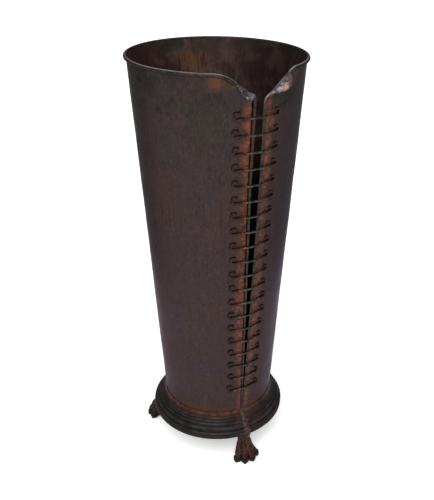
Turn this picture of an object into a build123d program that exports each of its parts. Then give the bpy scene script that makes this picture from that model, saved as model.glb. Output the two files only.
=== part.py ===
from build123d import *
import math
import os

# A tapered sheet-metal umbrella stand. The sheet is open down the front, its
# edges are hemmed and drawn together by wire stitches, and the top corners of
# the opening are folded out like a collar. It stands on a stepped moulding and
# three paw feet. The origin is on the axis at floor level, +Z is up and the
# front opening faces -Y. Millimetres.

# ---- Driving dimensions -----------------------------------------------------

overall_height = 630.0
rim_diameter = 254.0
body_bottom_diameter = 170.8
sheet = 1.3

# Rolled rim: the wire in it and the metal drawn thin around the wire
rim_wire_radius = 1.4
wire_clearance = 0.1
roll_wall = 1.0

# Front opening: clear gaps between the two hems, from the bottom up
slit_gap_bottom = 0.6
slit_gap_knee = 12.2
slit_gap_top = 10.8
hem_radius_bottom = 1.3
hem_radius_knee = 2.3
slit_knee_share = 0.77
slit_lift = 0.5

# Collar: arc distances from the centre of the slit, drops below the rim
collar_throat_drop = 30.0
collar_mid_reach = 27.0
collar_mid_drop = 15.0
collar_end_reach = 54.0
rim_lead_in = 9.0
collar_throat_radius = 7.0
collar_mid_radius = 60.0
collar_end_radius = 18.0

# Lapels folded out from the collar line: the fold starts by the throat and ends
# short of the rim, and the tip lies beyond the middle of the collar
lapel_low_lead = 3.1
lapel_low_rise = 3.5
lapel_high_lead = 10.0
lapel_high_drop = 6.5
lapel_tip_lead = 6.5
lapel_tip_fall = 4.0
lapel_projection = 15.0
lapel_tip_radius = 5.0
lapel_edge_bow = 1.2

# Wire lacing
stitch_count = 20
stitch_wire_radius = 1.65
stitch_top_margin = 25.0
stitch_bottom_margin = 45.0
stitch_reach_angle = 16.3
hook_rise = 6.6
hook_return = 6.4
clinch_length = 6.0
stitch_lift = 0.3
hook_flat = 0.2
stitch_bend_allowance = 0.15
stitch_shoulder_radius = 6.0
lacing_hole_clearance = 0.45

# Base
foot_height = 43.5
plate_thickness = 3.0
moulding_spread = 22.9
moulding_height = 38.1
moulding_lip_height = 6.7
moulding_wall = 2.2
moulding_land = 0.8
moulding_joint_gap = 0.8
collar_fit_clearance = 0.1
plate_clearance = 0.3

# Each step of the moulding, from the body outwards: width, drop, bulge
moulding_steps = [
    (2.8, 7.5, -0.7),
    (2.2, 3.8, 0.8),
    (2.2, 3.8, 0.8),
    (3.5, 4.6, 1.0),
    (4.6, 7.6, 1.9),
    (4.6, 4.1, 1.0),
]

# Seam weld down the front of the base
weld_radius = 3.2
weld_drop_below_lip = 6.0

# Paw feet and their fasteners; the set is turned a little from the opening
foot_names = ["paw_foot_front", "paw_foot_rear_right", "paw_foot_rear_left"]
foot_turn = -2.5
foot_inset = 8.3
ankle_half_width = 11.0
ankle_half_depth = 7.5
paw_half_width = 17.0
paw_half_depth = 12.0
toe_fan_angles = (-57.0, -19.0, 19.0, 57.0)
toe_radius = 7.0
knuckle_radius = 7.8
toe_reach = 15.0
toe_height = 6.0
knuckle_reach = 9.0
knuckle_height = 14.5
claw_length = 3.5
claw_radius = 3.0
claw_dip = 30.0
screw_setback = 2.0
screw_radius = 2.4
screw_length_in_foot = 14.0
screw_hole_clearance = 0.1
screw_head_radius = 4.4
screw_head_height = 2.8
washer_radius = 5.4
washer_thickness = 0.8
driver_slot_width = 1.2
driver_slot_depth = 1.3

# ---- Sizes that follow ------------------------------------------------------

plate_top = foot_height + plate_thickness
moulding_top = foot_height + moulding_height
roll_radius = rim_wire_radius + wire_clearance + roll_wall
rim_height = overall_height - roll_radius
roll_centre_radius = rim_diameter / 2 - roll_radius
body_bottom_radius = body_bottom_diameter / 2
moulding_radius = body_bottom_radius + moulding_spread
foot_radius = moulding_radius - foot_inset
screw_circle_radius = foot_radius - screw_setback
foot_azimuths = [foot_turn + 360 * n / len(foot_names) for n in range(len(foot_names))]
body_top_radius = roll_centre_radius - roll_radius + sheet
body_taper = (body_top_radius - body_bottom_radius) / (rim_height - plate_top)


def body_radius(height):
    """Outer radius of the sheet at a height."""
    return body_bottom_radius + (height - plate_top) * body_taper


def on_body(reach, height, proud=0.0):
    """Point at an arc distance from the slit, standing proud of the sheet."""
    angle = reach / body_radius(height)
    radius = body_radius(height) + proud
    return Vector(radius * math.sin(angle), -radius * math.cos(angle), height)


def on_rim(angle):
    """Point on the centre line of the rolled rim, angle in degrees."""
    turn = math.radians(angle)
    return Vector(
        roll_centre_radius * math.sin(turn),
        -roll_centre_radius * math.cos(turn),
        rim_height,
    )


def along_x(point, side):
    """The same point, or its mirror image across the slit."""
    return Vector(point.X * side, point.Y, point.Z)


slit_half_bottom = slit_gap_bottom / 2 + hem_radius_bottom
slit_half_knee = slit_gap_knee / 2 + hem_radius_knee
slit_half_top = slit_gap_top / 2 + roll_radius
slit_bottom = moulding_top + slit_lift
slit_top = rim_height - collar_throat_drop
slit_knee = slit_bottom + (slit_top - slit_bottom) * slit_knee_share
hem_end = slit_top - collar_throat_radius

rim_end_angle = math.degrees((collar_end_reach + rim_lead_in) / roll_centre_radius)

stitch_top = slit_top - stitch_top_margin
stitch_bottom = moulding_top + stitch_bottom_margin
stitch_pitch = (stitch_top - stitch_bottom) / (stitch_count - 1)
stitch_heights = [stitch_top - stitch_pitch * n for n in range(stitch_count)]
stitch_bend_radius = stitch_wire_radius + stitch_bend_allowance
lacing_hole_radius = stitch_wire_radius + lacing_hole_clearance


def slit_half_width(height):
    """Distance from the centre of the slit to the hem's centre line."""
    if height < slit_knee:
        share = (height - slit_bottom) / (slit_knee - slit_bottom)
        return slit_half_bottom + (slit_half_knee - slit_half_bottom) * share
    share = (height - slit_knee) / (slit_top - slit_knee)
    return slit_half_knee + (slit_half_top - slit_half_knee) * share


def hem_radius(height):
    """Radius of the rolled hem, which thins towards the bottom."""
    if height < slit_knee:
        share = (height - slit_bottom) / (slit_knee - slit_bottom)
        return hem_radius_bottom + (hem_radius_knee - hem_radius_bottom) * share
    share = (height - slit_knee) / (hem_end - slit_knee)
    return hem_radius_knee + (roll_radius - hem_radius_knee) * share


def hem_centre(height):
    """Centre of the hem, whose inner side is flush with the sheet's."""
    return on_body(slit_half_width(height), height, hem_radius(height) - sheet)


def stitch_reach(height):
    """Arc distance from the slit to the bend of a stitch's hook."""
    return math.radians(stitch_reach_angle) * body_radius(height)


def hole_centre(height):
    """Centre of the right-hand lacing hole of the stitch at this height."""
    return stitch_reach(height) - hook_return, height + hook_rise


# ---- Body shell -------------------------------------------------------------

# The collar line on the right-hand side, from the hem's end up to the rim.
collar_line = [
    hem_centre(hem_end),
    on_body(slit_half_top, slit_top, roll_radius - sheet),
    on_body(collar_mid_reach, rim_height - collar_mid_drop, roll_radius - sheet),
    on_rim(rim_end_angle) - (on_rim(rim_end_angle + 90) - Vector(0, 0, rim_height)).normalized()
    * rim_lead_in,
    on_rim(rim_end_angle),
]
collar_bends = [collar_throat_radius, collar_mid_radius, collar_end_radius]

# The opening is cut along the hem and collar centre lines.
opening_edge = [
    (slit_half_width(slit_bottom), slit_bottom),
    (slit_half_width(slit_knee), slit_knee),
    (slit_half_width(hem_end), hem_end),
]
opening_edge += [(point.X, point.Z) for point in collar_line[1:4]]
opening_edge += [(collar_line[3].X, overall_height + roll_radius)]
opening_outline = opening_edge + [(-x, z) for x, z in reversed(opening_edge)]

hem_path = [hem_centre(slit_bottom), hem_centre(slit_knee), hem_centre(hem_end)]
lower_run = (hem_path[1] - hem_path[0]).normalized()
upper_run = (collar_line[1] - collar_line[0]).normalized()
hem_directions = [lower_run, (lower_run + upper_run).normalized(), upper_run]
hem_radii = [hem_radius_bottom, hem_radius_knee, roll_radius]

rim_start = math.radians(rim_end_angle)
rim_plane = Plane(
    origin=(0, 0, rim_height),
    x_dir=(math.sin(rim_start), -math.cos(rim_start), 0),
    z_dir=(-math.cos(rim_start), -math.sin(rim_start), 0),
)
rim_sweep_angle = 360 - 2 * rim_end_angle

lapel_low = on_body(slit_half_top + lapel_low_lead, slit_top + lapel_low_rise)
lapel_high = on_body(collar_end_reach - lapel_high_lead, rim_height - lapel_high_drop)
lapel_tip = on_body(
    collar_mid_reach + lapel_tip_lead,
    rim_height - collar_mid_drop - lapel_tip_fall,
    lapel_projection,
)


def bowed(start, end, bow):
    """Middle point of an arc from start to end, bowed to its left."""
    chord = Vector(end) - Vector(start)
    left = Vector(-chord.Y, chord.X) / chord.length
    return (Vector(start) + Vector(end)) / 2 + left * bow


hole_planes = []
for stitch_height in stitch_heights:
    hole_reach, hole_height = hole_centre(stitch_height)
    for side in (-1, 1):
        centre = on_body(hole_reach * side, hole_height)
        hole_planes.append(Plane(origin=centre, z_dir=(centre.X, centre.Y, 0)))

with BuildPart() as body_shell:
    with BuildSketch(Plane.XZ):
        with BuildLine():
            Polyline(
                (body_bottom_radius - sheet, plate_top),
                (body_bottom_radius, plate_top),
                (body_top_radius, rim_height),
                (body_top_radius - sheet, rim_height),
                close=True,
            )
        make_face()
    revolve(axis=Axis.Z)
    with BuildSketch(Plane.XZ):
        with BuildLine():
            Polyline(*opening_outline, close=True)
        make_face()
    extrude(amount=rim_diameter, mode=Mode.SUBTRACT)
    with BuildSketch(*hole_planes):
        Circle(lacing_hole_radius)
    extrude(amount=3 * sheet, both=True, mode=Mode.SUBTRACT)
    with BuildSketch(rim_plane):
        with Locations((roll_centre_radius, 0)):
            Circle(roll_radius)
    revolve(axis=Axis.Z, revolution_arc=rim_sweep_angle)
    for side in (-1, 1):
        for centre, direction, radius in zip(hem_path, hem_directions, hem_radii):
            with BuildSketch(Plane(along_x(centre, side), z_dir=along_x(direction, side))):
                Circle(radius)
        loft(ruled=True)
        with BuildLine() as collar_path:
            FilletPolyline(*[along_x(point, side) for point in collar_line], radius=collar_bends)
        with BuildSketch(Plane(collar_path.line @ 0, z_dir=collar_path.line % 0)):
            Circle(roll_radius)
        sweep(path=collar_path.line)
        low = along_x(lapel_low, side)
        fold = along_x(lapel_high, side) - low
        fall = along_x(lapel_tip, side) - low
        lapel_plane = Plane(low, x_dir=fold, z_dir=fold.cross(fall))
        tip = (fall.dot(lapel_plane.x_dir), fall.dot(lapel_plane.y_dir))
        high = (fold.length, 0)
        with BuildSketch(lapel_plane):
            with BuildLine():
                Line((0, 0), high)
                ThreePointArc(high, bowed(high, tip, lapel_edge_bow), tip)
                ThreePointArc(tip, bowed(tip, (0, 0), -lapel_edge_bow), (0, 0))
            lapel_face = make_face()
            fillet(lapel_face.vertices().sort_by(Axis.Y)[-1], lapel_tip_radius)
        extrude(amount=sheet / 2, both=True)
    with BuildSketch(rim_plane):
        with Locations((roll_centre_radius, 0)):
            Circle(rim_wire_radius + wire_clearance)
    revolve(axis=Axis.Z, revolution_arc=rim_sweep_angle, mode=Mode.SUBTRACT)
body_shell.part.label = "body_shell"

# ---- Wire inside the rolled rim ---------------------------------------------

with BuildPart() as rim_wire:
    wire_trim = math.degrees(wire_clearance / roll_centre_radius)
    with BuildSketch(rim_plane.rotated((0, wire_trim, 0))):
        with Locations((roll_centre_radius, 0)):
            Circle(rim_wire_radius)
    revolve(axis=Axis.Z, revolution_arc=rim_sweep_angle - 2 * wire_trim)
rim_wire.part.label = "rim_wire"

# ---- Lacing stitches --------------------------------------------------------


def stitch_half(height):
    """Centre line of a stitch's right half, from the slit to its clinched end."""
    hem_reach = slit_half_width(height)
    hem_proud = 2 * hem_radius(height) - sheet
    proud = stitch_wire_radius + stitch_lift
    reach = stitch_reach(height)
    hole_reach, upper = hole_centre(height)
    return [
        on_body(hem_reach, height, hem_proud + proud),
        on_body(reach, height, proud),
        on_body(reach, upper, proud),
        on_body(hole_reach, upper, proud),
        on_body(hole_reach, upper, -sheet - proud),
        on_body(hole_reach + clinch_length, upper, -sheet - proud),
    ]


hook_radius = (hook_rise - hook_flat) / 2
half_bends = [stitch_shoulder_radius, hook_radius, hook_radius, stitch_bend_radius, stitch_bend_radius]
lacing = []
for number, stitch_height in enumerate(stitch_heights, start=1):
    right_half = stitch_half(stitch_height)
    left_half = [along_x(point, -1) for point in reversed(right_half)]
    with BuildPart() as lacing_stitch:
        with BuildLine() as stitch_path:
            FilletPolyline(*left_half, *right_half, radius=half_bends[::-1] + half_bends)
        with BuildSketch(Plane(stitch_path.line @ 0, z_dir=stitch_path.line % 0)):
            Circle(stitch_wire_radius)
        sweep(path=stitch_path.line)
    lacing_stitch.part.label = f"lacing_stitch_{number:02d}"
    lacing.append(lacing_stitch.part)

# ---- Base plate -------------------------------------------------------------

screw_spots = [(screw_circle_radius, azimuth - 90) for azimuth in foot_azimuths]
screw_centres = [
    (radius * math.cos(math.radians(turn)), radius * math.sin(math.radians(turn)))
    for radius, turn in screw_spots
]
lip_inner_radius = moulding_radius - moulding_wall

with BuildPart() as base_plate:
    with BuildSketch(Plane.XY.offset(foot_height)):
        Circle(lip_inner_radius - plate_clearance)
        with Locations(*screw_centres):
            Circle(screw_radius + screw_hole_clearance, mode=Mode.SUBTRACT)
    extrude(amount=plate_thickness)
base_plate.part.label = "base_plate"

# ---- Stepped moulding -------------------------------------------------------

step_width = moulding_radius - body_radius(moulding_top) - collar_fit_clearance - moulding_land
step_drop = moulding_height - moulding_lip_height
width_scale = step_width / sum(step[0] for step in moulding_steps)
drop_scale = step_drop / sum(step[1] for step in moulding_steps)

top_inner = (body_radius(moulding_top) + collar_fit_clearance, moulding_top)
step_edges = [(top_inner[0] + moulding_land, moulding_top)]
for width, drop, bulge in moulding_steps:
    last_radius, last_height = step_edges[-1]
    step_edges.append((last_radius + width * width_scale, last_height - drop * drop_scale))
collar_foot = step_edges[1][1] + moulding_wall
inner_steps = [(radius - moulding_wall, height - moulding_wall / 2) for radius, height in step_edges[1:]]
moulding_inside = [
    top_inner,
    (body_radius(collar_foot) + collar_fit_clearance, collar_foot),
    *inner_steps,
    (lip_inner_radius, foot_height),
]


def draw_step_faces():
    """The outer line of the moulding, from its top land down to the lip."""
    for start, end, step in zip(step_edges, step_edges[1:], moulding_steps):
        ThreePointArc(start, bowed(start, end, step[2]), end)
    Line(step_edges[-1], (moulding_radius, foot_height))


with BuildPart() as base_moulding:
    with BuildSketch(Plane.XZ):
        with BuildLine():
            Line(top_inner, step_edges[0])
            draw_step_faces()
            Line((moulding_radius, foot_height), moulding_inside[-1])
            Polyline(*moulding_inside)
        make_face()
    revolve(axis=Axis.Z)
    with BuildSketch(Plane.XY.offset(foot_height)):
        with Locations((0, -moulding_radius)):
            Rectangle(moulding_joint_gap, moulding_radius)
    extrude(amount=moulding_height, mode=Mode.SUBTRACT)
base_moulding.part.label = "base_moulding"

# ---- Paw feet ---------------------------------------------------------------

# Height, forward shift, half width and half depth of each section of a foot
foot_sections = [
    (foot_height, 0.0, ankle_half_width + 1.0, ankle_half_depth),
    (foot_height * 0.70, 1.0, ankle_half_width, ankle_half_depth),
    (foot_height * 0.38, 2.5, (ankle_half_width + paw_half_width) / 2, ankle_half_depth + 2.0),
    (foot_height * 0.16, 3.5, paw_half_width, paw_half_depth),
    (0.0, 3.5, paw_half_width - 1.0, paw_half_depth - 1.0),
]
paw_centre = foot_radius + foot_sections[-1][1]
paws = []
for foot_name, azimuth in zip(foot_names, foot_azimuths):
    foot_plane = Plane.XY.rotated((0, 0, azimuth))
    with BuildPart(foot_plane) as paw_foot:
        for height, forward, half_width, half_depth in foot_sections:
            with BuildSketch(foot_plane.offset(height)):
                with Locations((0, -foot_radius - forward)):
                    Ellipse(half_width, half_depth)
        loft()
        for fan in toe_fan_angles:
            turn = math.radians(fan)
            aim = Vector(math.sin(turn), -math.cos(turn))
            knuckle = Vector(0, -paw_centre, knuckle_height) + aim * knuckle_reach
            toe = Vector(0, -paw_centre, toe_height) + aim * toe_reach
            with Locations(knuckle):
                Sphere(knuckle_radius)
            with Locations(toe):
                Sphere(toe_radius)
            dip = math.radians(claw_dip)
            claw_aim = aim * math.cos(dip) - Vector(0, 0, math.sin(dip))
            claw_root = toe + claw_aim * (toe_radius - claw_radius / 3)
            with Locations(Plane(claw_root, z_dir=claw_aim).location):
                Cone(
                    claw_radius,
                    claw_radius / 3,
                    claw_length,
                    align=(Align.CENTER, Align.CENTER, Align.MIN),
                )
        split(bisect_by=Plane.XY, keep=Keep.TOP)
        with BuildSketch(foot_plane.offset(foot_height)):
            with Locations((0, -screw_circle_radius)):
                Circle(screw_radius + screw_hole_clearance)
        extrude(amount=-screw_length_in_foot - 1, mode=Mode.SUBTRACT)
    paw_foot.part.label = foot_name
    paws.append(paw_foot.part)

# ---- Foot screws and washers ------------------------------------------------

washer_top = plate_top + washer_thickness

with BuildPart() as foot_washers:
    with BuildSketch(Plane.XY.offset(plate_top)):
        with Locations(*screw_centres):
            Circle(washer_radius)
            Circle(screw_radius + screw_hole_clearance, mode=Mode.SUBTRACT)
    extrude(amount=washer_thickness)
foot_washers.part.label = "foot_washers"

with BuildPart() as foot_screws:
    with BuildSketch(Plane.XY.offset(washer_top)):
        with Locations(*screw_centres):
            Circle(screw_head_radius)
    extrude(amount=screw_head_height)
    chamfer(foot_screws.edges().group_by(Axis.Z)[-1], screw_head_height / 4)
    with BuildSketch(Plane.XY.offset(washer_top + screw_head_height)):
        with Locations(*screw_centres):
            Rectangle(2 * screw_head_radius, driver_slot_width)
    extrude(amount=-driver_slot_depth, mode=Mode.SUBTRACT)
    with BuildSketch(Plane.XY.offset(foot_height - screw_length_in_foot)):
        with Locations(*screw_centres):
            Circle(screw_radius)
    extrude(amount=screw_length_in_foot + plate_thickness + washer_thickness)
foot_screws.part.label = "foot_screws"

# ---- Seam weld over the moulding's joint ------------------------------------

with BuildPart() as moulding_envelope:
    with BuildSketch(Plane.XZ):
        with BuildLine():
            Line((0, moulding_top), step_edges[0])
            draw_step_faces()
            Polyline((moulding_radius, foot_height), (0, foot_height), (0, moulding_top))
        make_face()
    revolve(axis=Axis.Z)

weld_line = [Vector(0, -radius, height) for radius, height in step_edges[::2]]
weld_line += [
    Vector(0, -moulding_radius, foot_height),
    Vector(0, -foot_radius - ankle_half_depth, foot_height - weld_drop_below_lip),
]
weld_runs = zip(weld_line, weld_line[1:], weld_line[2:])
weld_bends = [min((b - a).length, (c - b).length) for a, b, c in weld_runs]

with BuildPart() as base_seam_weld:
    with BuildLine() as weld_path:
        FilletPolyline(*weld_line, radius=[run / 2 for run in weld_bends])
    with BuildSketch(Plane(weld_path.line @ 0, z_dir=weld_path.line % 0)):
        Circle(weld_radius)
    sweep(path=weld_path.line)
    add(moulding_envelope.part, mode=Mode.SUBTRACT)
    add(body_shell.part, mode=Mode.SUBTRACT)
    add(paws[0], mode=Mode.SUBTRACT)
base_seam_weld.part.label = "base_seam_weld"

# ---- Export -----------------------------------------------------------------

os.makedirs("parts", exist_ok=True)
pieces = [body_shell.part, rim_wire.part, base_plate.part, base_moulding.part]
pieces += [foot_screws.part, foot_washers.part, base_seam_weld.part]
for piece in pieces + lacing + paws:
    export_step(piece, f"parts/{piece.label}.step")
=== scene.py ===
import math
import random
from collections import namedtuple

import bmesh
import bpy
from mathutils import Matrix, Vector, noise


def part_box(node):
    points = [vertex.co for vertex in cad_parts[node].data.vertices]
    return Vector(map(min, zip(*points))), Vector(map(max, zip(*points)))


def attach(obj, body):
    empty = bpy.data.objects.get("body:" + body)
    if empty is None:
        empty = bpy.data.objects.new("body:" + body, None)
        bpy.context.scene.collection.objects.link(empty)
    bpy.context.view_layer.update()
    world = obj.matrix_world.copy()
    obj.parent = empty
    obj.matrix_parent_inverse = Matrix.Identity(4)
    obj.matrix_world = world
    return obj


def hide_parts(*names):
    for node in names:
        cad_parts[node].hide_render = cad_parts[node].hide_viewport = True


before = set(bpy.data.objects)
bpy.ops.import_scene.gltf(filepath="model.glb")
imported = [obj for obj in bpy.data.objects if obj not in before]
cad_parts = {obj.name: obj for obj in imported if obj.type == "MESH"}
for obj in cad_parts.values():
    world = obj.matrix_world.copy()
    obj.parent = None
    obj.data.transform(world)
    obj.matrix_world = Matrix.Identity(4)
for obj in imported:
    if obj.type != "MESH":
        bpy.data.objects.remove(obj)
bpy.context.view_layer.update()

# A dark patinated sheet-metal umbrella stand: a tapered body laced up the front
# with wire, a folded collar, a stepped moulding and three paw feet. Metres, the
# axis at X = Y = 0, the floor at Z = 0 and the laced front towards -Y.

MM = 0.001

# ---- Places taken from the frame ----

shell_low, shell_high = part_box("body_shell")
ring_low, ring_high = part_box("base_moulding")
stitch_nodes = sorted(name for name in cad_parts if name.startswith("lacing_stitch_"))

TOP = shell_high.z
PLATE_TOP = shell_low.z
RIM_OUTER = shell_high.x
RING_TOP = ring_high.z
RING_BOTTOM = ring_low.z
RING_OUTER = ring_high.x

# ---- Sizes repeated from the design ----

SHEET = 1.3 * MM
BODY_BOTTOM = 85.4 * MM
ROLL = 2.5 * MM
HEM_BOTTOM = 1.3 * MM
HEM_KNEE = 2.3 * MM
SLIT_BOTTOM_HALF = 1.6 * MM
SLIT_KNEE_HALF = 8.4 * MM
SLIT_TOP_HALF = 7.9 * MM
THROAT_DROP = 30 * MM
WIRE = 1.65 * MM
HOLE = 2.1 * MM
HOOK_RISE = 6.6 * MM
HOOK_RETURN = 6.4 * MM
CLINCH = 6.0 * MM
STITCH_ANGLE = math.radians(16.3)

RIM_LEVEL = TOP - ROLL
BODY_TOP = RIM_OUTER - 2 * ROLL + SHEET
TAPER = (BODY_TOP - BODY_BOTTOM) / (RIM_LEVEL - PLATE_TOP)
SLIT_BOTTOM = RING_TOP + 0.5 * MM
SLIT_TOP = RIM_LEVEL - THROAT_DROP
SLIT_KNEE = SLIT_BOTTOM + (SLIT_TOP - SLIT_BOTTOM) * 0.77


# ---- Small sums ----


def mix(a, b, t):
    return a + (b - a) * t


def smooth(low, high, x):
    t = min(max((x - low) / (high - low), 0.0), 1.0)
    return t * t * (3 - 2 * t)


def body_radius(z):
    """Outer radius of the sheet."""
    return BODY_BOTTOM + (z - PLATE_TOP) * TAPER


def around(angle, radius, z):
    """A point on a circle about the axis; angle 0 is the front."""
    return Vector((radius * math.sin(angle), -radius * math.cos(angle), z))


def on_body(reach, z, proud=0.0):
    """A point at an arc distance from the slit, standing proud of the sheet."""
    return around(reach / body_radius(z), body_radius(z) + proud, z)


def along_slit(z, bottom, knee, top):
    """A size that runs straight from the slit's foot to its knee and on to its top."""
    if z < SLIT_KNEE:
        return mix(bottom, knee, max(0.0, (z - SLIT_BOTTOM) / (SLIT_KNEE - SLIT_BOTTOM)))
    return mix(knee, top, min(1.0, (z - SLIT_KNEE) / (SLIT_TOP - SLIT_KNEE)))


def slit_half(z):
    """Arc distance from the middle of the slit to the centre of the hem."""
    return along_slit(z, SLIT_BOTTOM_HALF, SLIT_KNEE_HALF, SLIT_TOP_HALF)


def hem_size(z):
    """Outer radius of the rolled edge, thinning towards the foot of the slit."""
    return along_slit(z, HEM_BOTTOM, HEM_KNEE, ROLL)


def lumps(point, size, seed=0.0):
    """Smooth noise from -1 to 1, with features of about this size."""
    return noise.noise(point / size + Vector((seed, 7.3 * seed, -3.1 * seed)))


def dent(angle, z):
    """How far hand work has left the sheet in or out of true."""
    spot = around(angle, body_radius(z), z)
    calm = smooth(34 * MM, 60 * MM, abs(angle) * body_radius(z))
    calm *= smooth(RIM_LEVEL, RIM_LEVEL - 40 * MM, z) * smooth(RING_TOP, RING_TOP + 30 * MM, z)
    broad = lumps(spot, 75 * MM, 1.0) * 0.55 * MM
    fine = lumps(spot, 24 * MM, 2.0) * 0.14 * MM
    return (broad + fine) * calm


# ---- Mesh helpers ----


def shade_smooth(mesh):
    for face in mesh.polygons:
        face.use_smooth = True


def mesh_object(name, points, faces):
    mesh = bpy.data.meshes.new(name)
    mesh.from_pydata(points, [], faces)
    mesh.validate(clean_customdata=False)
    piece = bpy.data.objects.new(name, mesh)
    bpy.context.scene.collection.objects.link(piece)
    shade_smooth(mesh)
    return piece


def skin(loops):
    """Points and faces of a capped tube whose closed cross-sections are the loops."""
    size = len(loops[0])
    points = [point for loop in loops for point in loop]
    faces = []
    for row in range(len(loops) - 1):
        for n in range(size):
            a = row * size + n
            b = row * size + (n + 1) % size
            faces.append((a, b, b + size, a + size))
    faces.append(tuple(range(size - 1, -1, -1)))
    last = (len(loops) - 1) * size
    faces.append(tuple(range(last, last + size)))
    return points, faces


CORNER_STEPS = 8


def rounded(corners, radii, step):
    """Points along a polyline whose inner corners are rounded, about a step apart."""
    path = [corners[0].copy()]
    for before, corner, after, radius in zip(corners, corners[1:], corners[2:], radii):
        into, out = (before - corner).normalized(), (after - corner).normalized()
        half = into.angle(out) / 2
        reach = radius / max(math.tan(half), 1e-6)
        reach = min(reach, (before - corner).length * 0.49, (after - corner).length * 0.49)
        start, end = corner + into * reach, corner + out * reach
        for n in range(CORNER_STEPS + 1):
            t = n / CORNER_STEPS
            path.append(start.lerp(corner, t).lerp(corner.lerp(end, t), t))
    path.append(corners[-1].copy())
    lengths = [0.0]
    for a, b in zip(path, path[1:]):
        lengths.append(lengths[-1] + (b - a).length)
    count = max(2, round(lengths[-1] / step))
    spaced, leg = [], 0
    for n in range(count + 1):
        want = lengths[-1] * n / count
        while leg < len(path) - 2 and lengths[leg + 1] < want:
            leg += 1
        run = lengths[leg + 1] - lengths[leg]
        spaced.append(path[leg].lerp(path[leg + 1], (want - lengths[leg]) / run if run else 0.0))
    return spaced


def tube(name, path, radius, sides, seed, rough):
    """A wire along a path, with a little unevenness in its thickness."""
    loops = []
    side = (path[1] - path[0]).orthogonal().normalized()
    for n, point in enumerate(path):
        along = (path[min(n + 1, len(path) - 1)] - path[max(n - 1, 0)]).normalized()
        side = (side - along * side.dot(along)).normalized()
        other = along.cross(side)
        loop = []
        for k in range(sides):
            turn = 2 * math.pi * k / sides
            out = side * math.cos(turn) + other * math.sin(turn)
            grow = 1 + rough * lumps(point + out * radius, 4 * MM, seed)
            loop.append(point + out * radius * grow)
        loops.append(loop)
    return mesh_object(name, *skin(loops))


def set_attribute(piece, name, values):
    """Stores one number per vertex for the piece's material to read."""
    made = piece.data.attributes.new(name, "FLOAT", "POINT")
    made.data.foreach_set("value", values)


def join(name, pieces):
    """One object made of several, keeping their vertex attributes."""
    for piece in bpy.context.selected_objects:
        piece.select_set(False)
    for piece in pieces:
        piece.select_set(True)
    bpy.context.view_layer.objects.active = pieces[0]
    bpy.ops.object.join()
    pieces[0].name = name
    pieces[0].data.name = name
    return pieces[0]


def apply_modifiers(piece):
    """The piece's mesh with its modifiers worked in, and the modifiers gone."""
    graph = bpy.context.evaluated_depsgraph_get()
    graph.update()
    mesh = bpy.data.meshes.new_from_object(piece.evaluated_get(graph))
    piece.modifiers.clear()
    piece.data = mesh
    shade_smooth(mesh)


AXES = (Vector((1, 0, 0)), Vector((0, 1, 0)), Vector((0, 0, 1)))


def blob(points, faces, centre, radii, rings=10):
    """Adds an ellipsoid to the lists, its radii along X, Y and Z."""
    start = len(points)
    around_count = rings * 2
    for i in range(rings + 1):
        tilt = math.pi * i / rings
        for k in range(around_count):
            turn = 2 * math.pi * k / around_count
            local = (math.sin(tilt) * math.cos(turn), math.sin(tilt) * math.sin(turn), math.cos(tilt))
            points.append(centre + sum((AXES[n] * radii[n] * local[n] for n in range(3)), Vector()))
    for i in range(rings):
        for k in range(around_count):
            a = start + i * around_count + k
            b = start + i * around_count + (k + 1) % around_count
            faces.append((a, a + around_count, b + around_count, b))


def limb(points, faces, start, end, start_radius, end_radius, steps=7):
    """Adds a run of overlapping balls between two places."""
    for n in range(steps):
        t = n / (steps - 1)
        blob(points, faces, start.lerp(end, t), [mix(start_radius, end_radius, t)] * 3, rings=7)


def clay(name, points, faces, voxel, smoothing):
    """Melts overlapping lumps into one smooth skin."""
    piece = mesh_object(name, points, faces)
    remesh = piece.modifiers.new("melt", "REMESH")
    remesh.mode = "VOXEL"
    remesh.voxel_size = voxel
    relax = piece.modifiers.new("relax", "SMOOTH")
    relax.factor = 0.5
    relax.iterations = smoothing
    apply_modifiers(piece)
    return piece


# ---- Shader helpers ----


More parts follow.
